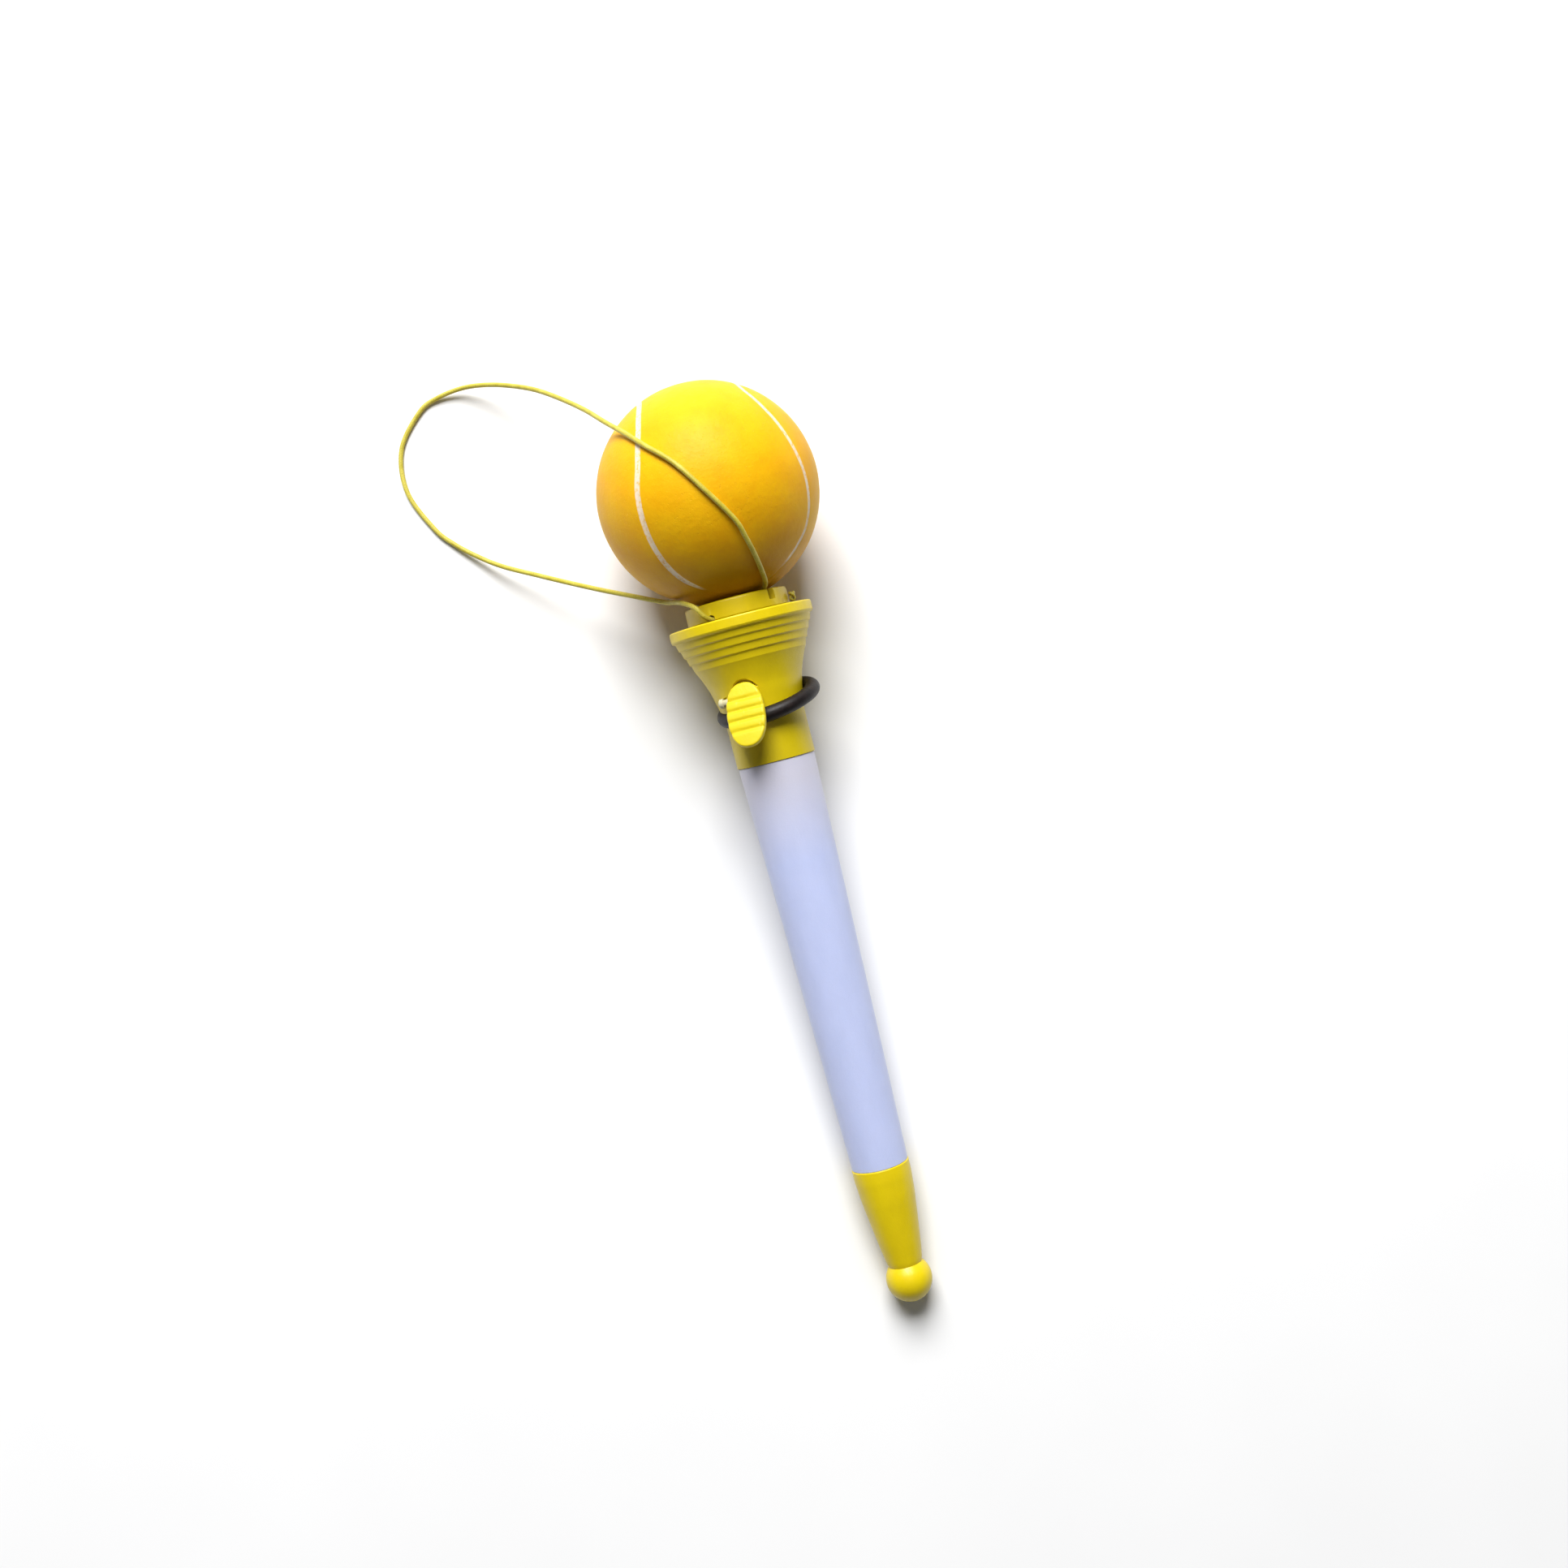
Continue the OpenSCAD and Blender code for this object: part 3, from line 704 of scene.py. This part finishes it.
def seam_line():
    """The seam as unit vectors in the pen's upright frame."""
    made = []
    for turn, lift in SEAM:
        a, b = math.radians(turn), math.radians(lift)
        made.append((math.cos(b) * math.sin(a), -math.cos(b) * math.cos(a), math.sin(b)))
    steps = 40
    closed = through(made[-2:] + made + made[:2], steps)
    stretch = np.array(closed[2 * steps:-steps])
    return stretch / np.linalg.norm(stretch, axis=1)[:, None]


def make_ball():
    """The foam ball: shallow dents, and a fine groove under the painted seam."""
    seam_w = 0.5                      # half the width of the painted line
    groove_depth = 0.10
    bm = bmesh.new()
    bmesh.ops.create_icosphere(bm, subdivisions=6, radius=1.0)
    tree = near_tree(seam_line())

    def off_seam(co):
        return tree.find(co.normalized())[2] * BALL_R

    for reach in (1.3, 1.0):
        near = {v for v in bm.verts if off_seam(v.co) < reach}
        edges = [e for e in bm.edges if e.verts[0] in near and e.verts[1] in near]
        bmesh.ops.subdivide_edges(bm, edges=edges, cuts=1, use_grid_fill=True)
        bmesh.ops.triangulate(bm, faces=[f for f in bm.faces if len(f.verts) > 3])
    values = []
    bm.verts.ensure_lookup_table()
    for v in bm.verts:
        way = v.co.normalized()
        distance = off_seam(way)
        groove = groove_depth * math.exp(-(distance / seam_w) ** 2)
        dents = 0.045 * noise(way * 3.1) + 0.02 * noise(way * 9.0)
        v.co = way * (BALL_R - 0.02 - groove + min(dents, 0.02))
        # The line is rubbed away beside the collar and fainter on the right of the upper side
        kept = float(np.clip((way.z + 0.93) / 0.2, 0, 1)) * (0.66 if way.x > 0 > way.y else 1.0)
        values.append(kept * float(np.clip(1.6 - distance / seam_w, 0, 1)))
    for face in bm.faces:
        face.smooth = True
    mesh = bpy.data.meshes.new("foam_ball")
    bm.to_mesh(mesh)
    bm.free()
    mesh.transform(PEN @ Matrix.Translation((0, 0, BALL_Z)))
    mark(mesh, "seam", values)
    mesh.materials.append(FOAM)
    ball = bpy.data.objects.new("foam_ball", mesh)
    bpy.context.scene.collection.objects.link(ball)
    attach(ball, "ball")
    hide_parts("ball")


# ---------------------------------------------------------------- launcher

# The neck's outside going up, and the cup's inside going down
FLARE = [(7.35, 111.5), (7.6, 113), (8.05, 115), (8.45, 116.7), (8.95, 118.2), (9.6, 119.8)]
CUP_FLOOR = [(11, 125.2), (9.9, 122.6), (8.7, 120.4), (7.9, 118.8), (7.4, 117.6),
             (SPRING_BORE_R, 116.4, 0.4)]

RING_PLACE = Matrix.Translation((1.2, 0, RING_Z)) @ turned(-6, "Y") @ turned(12.8, "X")
FACING = turned(TRIGGER_TURN)
ON_PAD = (FACING @ Matrix.Translation((0, -PAD_MID[0], PAD_MID[1])) @ turned(90 - PAD_SLOPE, "X"))


def swung(degrees):
    """The trigger's turn about its pivot, which brings the hook inwards."""
    at = Matrix.Translation((0, -PIVOT[0], PIVOT[1]))
    return FACING @ at @ turned(-degrees, "X") @ at.inverted() @ FACING.inverted()


def pad_edge(angle, room=0.0):
    """Half-size of the thumb pad in one direction: a full oval."""
    half_w, half_l, power = PAD_HALF[0] + room, PAD_HALF[1] + room, 2.35
    c, s = abs(math.cos(angle)) / half_w, abs(math.sin(angle)) / half_l
    return (c ** power + s ** power) ** (-1 / power)


def pad_cutter(room):
    """The pad's outline as a slab with some room all round."""
    edge = []
    for a in np.linspace(0, 2 * math.pi, 72, endpoint=False):
        r = pad_edge(a, room)
        edge.append((r * math.cos(a), r * math.sin(a)))
    return slab([(x, y, -PAD_T - room) for x, y in edge], [(x, y, room) for x, y in edge])


def mesh_of(obj):
    """Takes an object's mesh and removes the object."""
    mesh = obj.data
    bpy.data.objects.remove(obj)
    return mesh


def ring_groove():
    """The room that the rubber ring takes, as an upright cutter."""
    count, radius = 32, RING_T + 0.05
    section = []
    for k in range(count):
        a = 2 * math.pi * k / count
        section.append((RING_R + radius * math.cos(a), radius * math.sin(a)))
    return mesh_of(lathe("groove", section, None, laid=False))


def make_launcher_body():
    """Spigot, sleeve, neck and stepped cup in one moulding, with the trigger's openings."""
    wall, skin = 1.0, 0.4
    step = (LIP_R - 0.3 - LEDGE_R) / LEDGES
    height = (LIP_Z - LEDGE_Z) / LEDGES
    neck = [tuple(p) for p in through(
        [(SLEEVE_R, SLEEVE_TOP), *FLARE, (LEDGE_R - 0.05, LEDGE_Z - 0.05)], 4)]
    ledges = []
    for i in range(LEDGES):
        r = LEDGE_R + i * step
        ledges += [(r, LEDGE_Z + i * height, 0.16), (r + 0.3, LEDGE_Z + (i + 0.85) * height, 0.16)]
    outer = ([(STEM_BORE_R, SPIGOT_Z, 0.1), (SPIGOT_R, SPIGOT_Z, 0.25), (SPIGOT_R, BARREL_TOP, 0.0),
              (SLEEVE_R, BARREL_TOP, 0.12)]
             + [(r, z, 0.0) for r, z in neck[:-1]] + ledges
             + [(LIP_R - 0.15, LIP_Z, 0.1), (LIP_R, LIP_Z + 0.3, 0.1), (LIP_R, RIM_Z, 0.35)])
    inner = [(LIP_R - wall, RIM_Z, 0.3), (LIP_R - wall, 127.6, 0.3), *CUP_FLOOR,
             (SPRING_BORE_R, SPRING_SEAT_Z, 0.05), (STEM_BORE_R, SPRING_SEAT_Z, 0.1)]
    body = lathe("launcher_shell", soften(outer + inner, 0.3), LAUNCHER, laid=False, segments=192)

    # The hook moves in a slot that leaves a skin, and its foot goes through a window
    window_low, window_high, slot_top, window_w = 112.9, 116.8, 121.4, 3.4
    slot = lathe("slot", [(0, SPRING_SEAT_Z)]
                 + [(r - skin, z) for r, z in neck if 110.5 < z < slot_top]
                 + [(9.9, slot_top), (0, slot_top)], None, laid=False, segments=96)
    slot_room = block((window_w, 18.2, slot_top - window_low),
                      (0, -13.1, (window_low + slot_top) / 2))
    window = block((window_w, 14, window_high - window_low),
                   (0, -11, (window_low + window_high) / 2))
    carve(slot, [(slot_room, FACING)], "INTERSECT")
    pin_room = rod(0.6, (PIN_END, -PIVOT[0], PIVOT[1]), (-4.6, -PIVOT[0], PIVOT[1]))
    head_room = rod(0.95, (-3.9, -PIVOT[0], PIVOT[1]), (-7.6, -PIVOT[0], PIVOT[1]))
    carve(body, [
        (ring_groove(), RING_PLACE), (window, FACING), (mesh_of(slot), Matrix.Identity(4)),
        (pad_cutter(0.2), ON_PAD), (pad_cutter(0.2), swung(7) @ ON_PAD),
        (pin_room, FACING), (head_room, FACING)])
    lay(body)
    keep_flats(body)
    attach(body, "pen")
    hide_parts("launcher_body")


def make_ring():
    """The rubber ring, a little slack: its section bulges and it carries a fine flash line."""
    count, around = 160, 40
    bulge, flash_h, flash_w = 0.02, 0.03, 0.09
    verts = []
    for i in range(count):
        a = 2 * math.pi * i / count
        fat = 1 - bulge + bulge * math.sin(3 * a + 0.6)
        for k in range(around):
            b = 2 * math.pi * k / around
            flash = flash_h * math.exp(-(math.sin(b) / flash_w) ** 2) if math.cos(b) > 0 else 0
            r = RING_T * fat + flash - flash_h
            out = RING_R + r * math.cos(b)
            verts.append((out * math.cos(a), out * math.sin(a), r * math.sin(b)))
    ring = piece("return_ring", verts, quads(count, around, closed=True), RUBBER)
    lay(ring, RING_PLACE)
    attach(ring, "pen")
    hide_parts("rubber_ring")


# ---------------------------------------------------------------- trigger

def pad_height(x, y):
    """Relief of the pad's face: a crown with five rounded ribs across it."""
    pitch, ribs, depth = 1.94, 2.5, 0.27
    crown = -0.10 * (x / PAD_HALF[0]) ** 2 - 0.22 * (y / PAD_HALF[1]) ** 2
    phase = abs(y) / pitch
    if phase >= ribs - 0.4:
        return crown
    return crown - depth * math.exp(-((phase - round(phase + 0.5) + 0.5) / 0.17) ** 2)


def make_pad():
    """The thumb pad as a mesh: ribbed face, rounded rim and a flat back."""
    around, rings = 96, 30
    verts, faces, loops = [(0, 0, pad_height(0, 0))], [], []
    for j in range(1, rings + 1):
        share = j / rings
        loop = []
        for k in range(around):
            a = 2 * math.pi * k / around
            r = (pad_edge(a) - PAD_RIM) * share
            x, y = r * math.cos(a), r * math.sin(a)
            loop.append(len(verts))
            verts.append((x, y, pad_height(x, y)))
        loops.append(loop)
    # (how far in, how far down): a round rim, then the side and the back's edge
    rim = []
    for degrees in (70, 45, 20, 0):
        t = math.radians(degrees)
        rim.append((PAD_RIM * (1 - math.cos(t)), PAD_RIM * (math.sin(t) - 1)))
    for inset, drop in rim + [(0.0, -PAD_T + 0.4), (0.1, -PAD_T + 0.12), (0.35, -PAD_T)]:
        loop = []
        for k in range(around):
            a = 2 * math.pi * k / around
            full = pad_edge(a)
            x, y = (full - inset) * math.cos(a), (full - inset) * math.sin(a)
            top = pad_height((full - PAD_RIM) * math.cos(a), (full - PAD_RIM) * math.sin(a))
            level = drop + top if drop > -PAD_RIM - 0.01 else drop
            loop.append(len(verts))
            verts.append((x, y, level))
        loops.append(loop)
    centre = len(verts)
    verts.append((0, 0, -PAD_T))
    for k in range(around):
        m = (k + 1) % around
        faces.append([0, loops[0][k], loops[0][m]])
        for low, high in zip(loops[:-1], loops[1:]):
            faces.append([low[k], high[k], high[m], low[m]])
        faces.append([centre, loops[-1][m], loops[-1][k]])
    return piece("pad", verts, faces, LEMON)


def prism(outline, width):
    """A flat outline of (distance from the axis, height), given a width across."""
    right, left = ([(x, -r, z) for r, z in outline] for x in (width / 2, -width / 2))
    return slab(right, left)


def make_trigger():
    """The ribbed pad, its boss on the pin and the hook that catches the collar."""
    hook = [(6.3, 113.6, 0.1), (7.2, 113.1, 0.1), (9.75, 113.3, 0), (8.7, 116.1, 0), (7.5, 116.5, 0.4),
            (7.5, 120.3, 0.2), (6.75, 120.3, 0.1), (6.55, 120.0, 0.1), (6.55, 119.2, 0.08),
            (7.0, 119.2, 0.12), (7.0, 116.4, 0.3), (6.2, 115.6, 0.3)]
    trigger = make_pad()
    trigger.name = "thumb_trigger"
    trigger.data.transform(ON_PAD)
    pivot, width = (-PIVOT[0], PIVOT[1]), 3.0
    boss = rod(1.5, (width / 2, *pivot), (-width / 2, *pivot), 64)
    carve(trigger, [(prism(soften(hook, 0.1, 4), width), FACING), (boss, FACING)], "UNION")
    carve(trigger, [(rod(0.65, (width, *pivot), (-width, *pivot), 48), FACING)])
    lay(trigger)
    keep_flats(trigger, 40)
    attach(trigger, "trigger")
    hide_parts("trigger")


def make_pin():
    """The pivot pin, with a domed head on its left end."""
    outline = soften([(0, -PIN_END), (0.5, -PIN_END, 0.1), (0.59, 0.2 - PIN_END), (0.59, 4.6, 0),
                      (0.85, 4.6, 0.05), (0.85, 5.25, 0.3), (0.35, 5.58, 0.3), (0, 5.58)],
                     0.05, closed=False)
    place = (FACING @ Matrix.Translation((0, -PIVOT[0], PIVOT[1])) @ turned(-90, "Y"))
    pin = lathe("hinge_pin", outline, NATURAL, "pen", segments=48, place=place)
    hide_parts("pivot_pin")


# ---------------------------------------------------------------- plunger

def make_plunger_head():
    """The collar: a skirt with the hook's groove, and a dish that the ball sits on."""
    skirt_r, groove_r, stem_r, dish_edge, dish_r = 6.4, 5.5, 4.0, 6.28, 1.8
    catch_top = CATCH_Z + CATCH_H
    collar = [(6.1, COLLAR_FOOT, 0.3), (skirt_r, COLLAR_FOOT + 0.3, 0.2), (skirt_r, CATCH_Z, 0.08),
              (groove_r, CATCH_Z, 0.1), (groove_r, catch_top, 0.1), (skirt_r, catch_top, 0.08),
              (skirt_r, 126.9, 0.3), (8.0, 126.9, 0.25), (9.4, 129.2, 0.35), (9.34, 131.3, 0.0),
              (9.3, 132.3, 0.55)]
    sphere_r = BALL_R + 0.3
    dish = []
    for k in range(9):
        r = dish_edge - (dish_edge - dish_r) * k / 8
        dish.append((r, BALL_Z - math.sqrt(sphere_r ** 2 - r * r), 0.15 if k == 0 else 0.0))
    inside = [(dish_r, DISH_Z, 0.1), (1.6, DISH_Z, 0.0), (1.6, 126.4, 0.05), (stem_r, 126.4, 0.1),
              (stem_r, COLLAR_FOOT, 0.15)]
    head = lathe("plunger_collar", soften(collar + dish + inside, 0.2), YELLOW, laid=False,
                 segments=160)
    # The tether's channel in the top on the right, and its hole on the left
    channel = block((1.5, 18.8, 8), (0, -9.4 - 1.0, DISH_Z + 4))
    hole = rod(0.75, (0, -6.5, 129.4), (0, -12, 129.4))
    carve(head, [(channel, turned(43.6)), (hole, turned(-31.5))])
    lay(head)
    keep_flats(head)
    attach(head, "plunger")
    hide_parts("plunger_head")


def make_knot():
    """An overhand knot in the tether's spare end, with a cut tail."""
    radius, size, depth, points = 0.36, 0.36, 0.42, 30
    path = []
    for k in range(points + 1):
        t = 2 * math.pi * (0.06 + 0.88 * k / points)
        path.append(np.array((size * (math.sin(t) + 2 * math.sin(2 * t)),
                              size * (math.cos(t) - 2 * math.cos(2 * t)), -depth * math.sin(3 * t))))
    tail = [path[-1] + np.array(d) for d in ((0.35, 0.1, 0.0), (0.8, 0.5, 0.02), (1.1, 1.1, 0.0))]
    shape = braided(pitch=0.9)
    knot, _ = tube("tether_end_knot", even(through(path + tail, 8), 0.08),
                   lambda s, a: radius * shape(s, a), 16, THREAD)
    # The whole knot takes a faint share of the braid's painted hollow shade
    mark(knot.data, "strand", [0.7] * len(knot.data.vertices))
    beside_collar = turned(80) @ Matrix.Translation((0, -10.2, 130.25)) @ turned(90, "X")
    lay(knot, beside_collar @ Matrix.Scale(0.72, 4))
    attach(knot, "plunger")
    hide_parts("tether_knot")


def make_spring():
    """Compression spring with closed, ground ends."""
    wire, radius, low, high, turns = 0.35, 3.35, 108.4, 126.4, 8
    steps = 40
    count = turns * steps
    path = []
    for i in range(count + 1):
        share = i / count
        closing = np.clip(np.array([share * turns, turns - share * turns]), 0, 1)
        rise = share + 0.5 / turns * ((1 - closing[1]) ** 2 - (1 - closing[0]) ** 2) * 0.9
        a = 2 * math.pi * i / steps
        z = low + wire + 0.02 + (high - low - 2 * wire - 0.04) * float(np.clip(rise, 0, 1))
        path.append(Vector((radius * math.cos(a), radius * math.sin(a), z)))
    spring, _ = tube("coil_spring", [PEN @ p for p in path], wire * MM, 14, STEEL)
    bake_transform(spring)
    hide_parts("launch_spring")


# ---------------------------------------------------------------- barrel, nose and cap

def make_barrel():
    """The tapered tube, bored for the nose's spigot, the refill and the launcher's spigot."""
    outline = [(NIPPLE_R, CAP_MOUTH, 0.1), (5.2, CAP_MOUTH, 0.15), (7.03, BARREL_TOP, 0.2),
               (SPIGOT_R, BARREL_TOP, 0.05), (SPIGOT_R, SPIGOT_Z, 0.05), (5.0, SPIGOT_Z, 0.05),
               (5.0, 88.0, 0.3), (4.1, NIPPLE_TOP + 0.4, 0.1), (NIPPLE_R, NIPPLE_TOP, 0.1)]
    barrel = lathe("pen_barrel", soften(outline, 0.1), WHITE, "pen")
    keep_flats(barrel, 50)
    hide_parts("barrel")


def make_cap():
    """The cap: a bulb, a waist and a slightly hollow taper up to its mouth."""
    bulb_r, bulb_z, turn, bore_r, bore_end, hollow = 4.25, 4.3, 43.0, 4.25, 9.0, 2.2
    bulb = [(bulb_r * math.cos(math.radians(a)), bulb_z + bulb_r * math.sin(math.radians(a)))
            for a in np.linspace(-90, turn, 26)]
    bulb[0] = (0, bulb_z - bulb_r)
    sides = [(3.3, 7.85), (3.45, 8.7), (3.87, 11.4), (4.27, 14.4), (4.65, 17.4), (5.02, 20.4),
             (5.3, 24.0)]
    outer = ([(r, z, 0.0) for r, z in bulb[:-1]]
             + [(r, z, 0.0) for r, z in through([bulb[-1], *sides], 6)] + [(5.34, CAP_MOUTH, 0.25)])
    inner = [(bore_r, CAP_MOUTH, 0.15), (bore_r, 19.2, 0.2), (hollow, 12.0, 0.2),
             (hollow, bore_end + 0.6, 0.2), (hollow - 0.6, bore_end, 0.2), (0, bore_end)]
    cap = lathe("pen_cap", soften(outer + inner, 0.2, closed=False), YELLOW, "cap")
    keep_flats(cap, 50)
    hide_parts("cap")


def make_nose():
    """The nose cone, with four grip rings under the cap and a spigot in the barrel."""
    grip_r, bore_r, refill_bore = 4.2, 1.5, 1.2
    rings = []
    for k in range(4):
        z = 24.3 - 1.2 * k
        rings += [(grip_r, z + 0.2, 0.08), (grip_r - 0.15, z, 0.08), (grip_r, z - 0.2, 0.08)]
    outline = ([(bore_r, 15.6, 0), (bore_r, NIPPLE_TOP, 0.05), (NIPPLE_R, NIPPLE_TOP, 0.3),
                (NIPPLE_R, CAP_MOUTH, 0.05), (grip_r, CAP_MOUTH, 0.1)]
               + rings
               + [(grip_r, 19.5, 0.6), (1.6, 13.0, 0.2), (refill_bore, 13.0, 0.05),
                  (refill_bore, 15.6, 0.0)])
    nose = lathe("nose_grip", soften(outline, 0.1), YELLOW, "pen")
    keep_flats(nose, 50)
    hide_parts("nose_cone")


def make_tip():
    """The refill's turned brass point."""
    outline = soften([(0, 11.3), (0.36, 11.2, 0.03), (0.42, 11.2, 0.03), (0.62, 12.0, 0.05),
                      (0.9, 12.25, 0.1), (1.15, 13.4, 0.2), (1.15, 15.6, 0.05),
                      (REFILL_R, 15.6, 0.05), (REFILL_R, REFILL_Z, 0.05), (1.0, REFILL_Z, 0.05),
                      (1.0, 19.6, 0.1), (0, 19.6)], 0.05, closed=False)
    tip = lathe("writing_tip", outline, BRASS, "pen", segments=64)
    keep_flats(tip, 40)
    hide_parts("refill_tip")


def finish_cad_nodes():
    """Inner pieces keep their CAD shapes and take a real finish."""
    finishes = {
        NATURAL: ("ball_plug", "plunger_stem", "guide_bush", "refill_stop", "refill_tube", "ink_follower"),
        STEEL: ("stem_clip", "writing_ball"),
        INK: ("ink",)}
    for material, names in finishes.items():
        for name in names:
            obj = frame["nodes"][name]
            obj.data.materials.clear()
            obj.data.materials.append(material)


make_camera()
make_tether()
make_stage()
make_ball()
make_launcher_body()
make_ring()
make_trigger()
make_pin()
make_plunger_head()
make_knot()
make_spring()
make_barrel()
make_cap()
make_nose()
make_tip()
finish_cad_nodes()
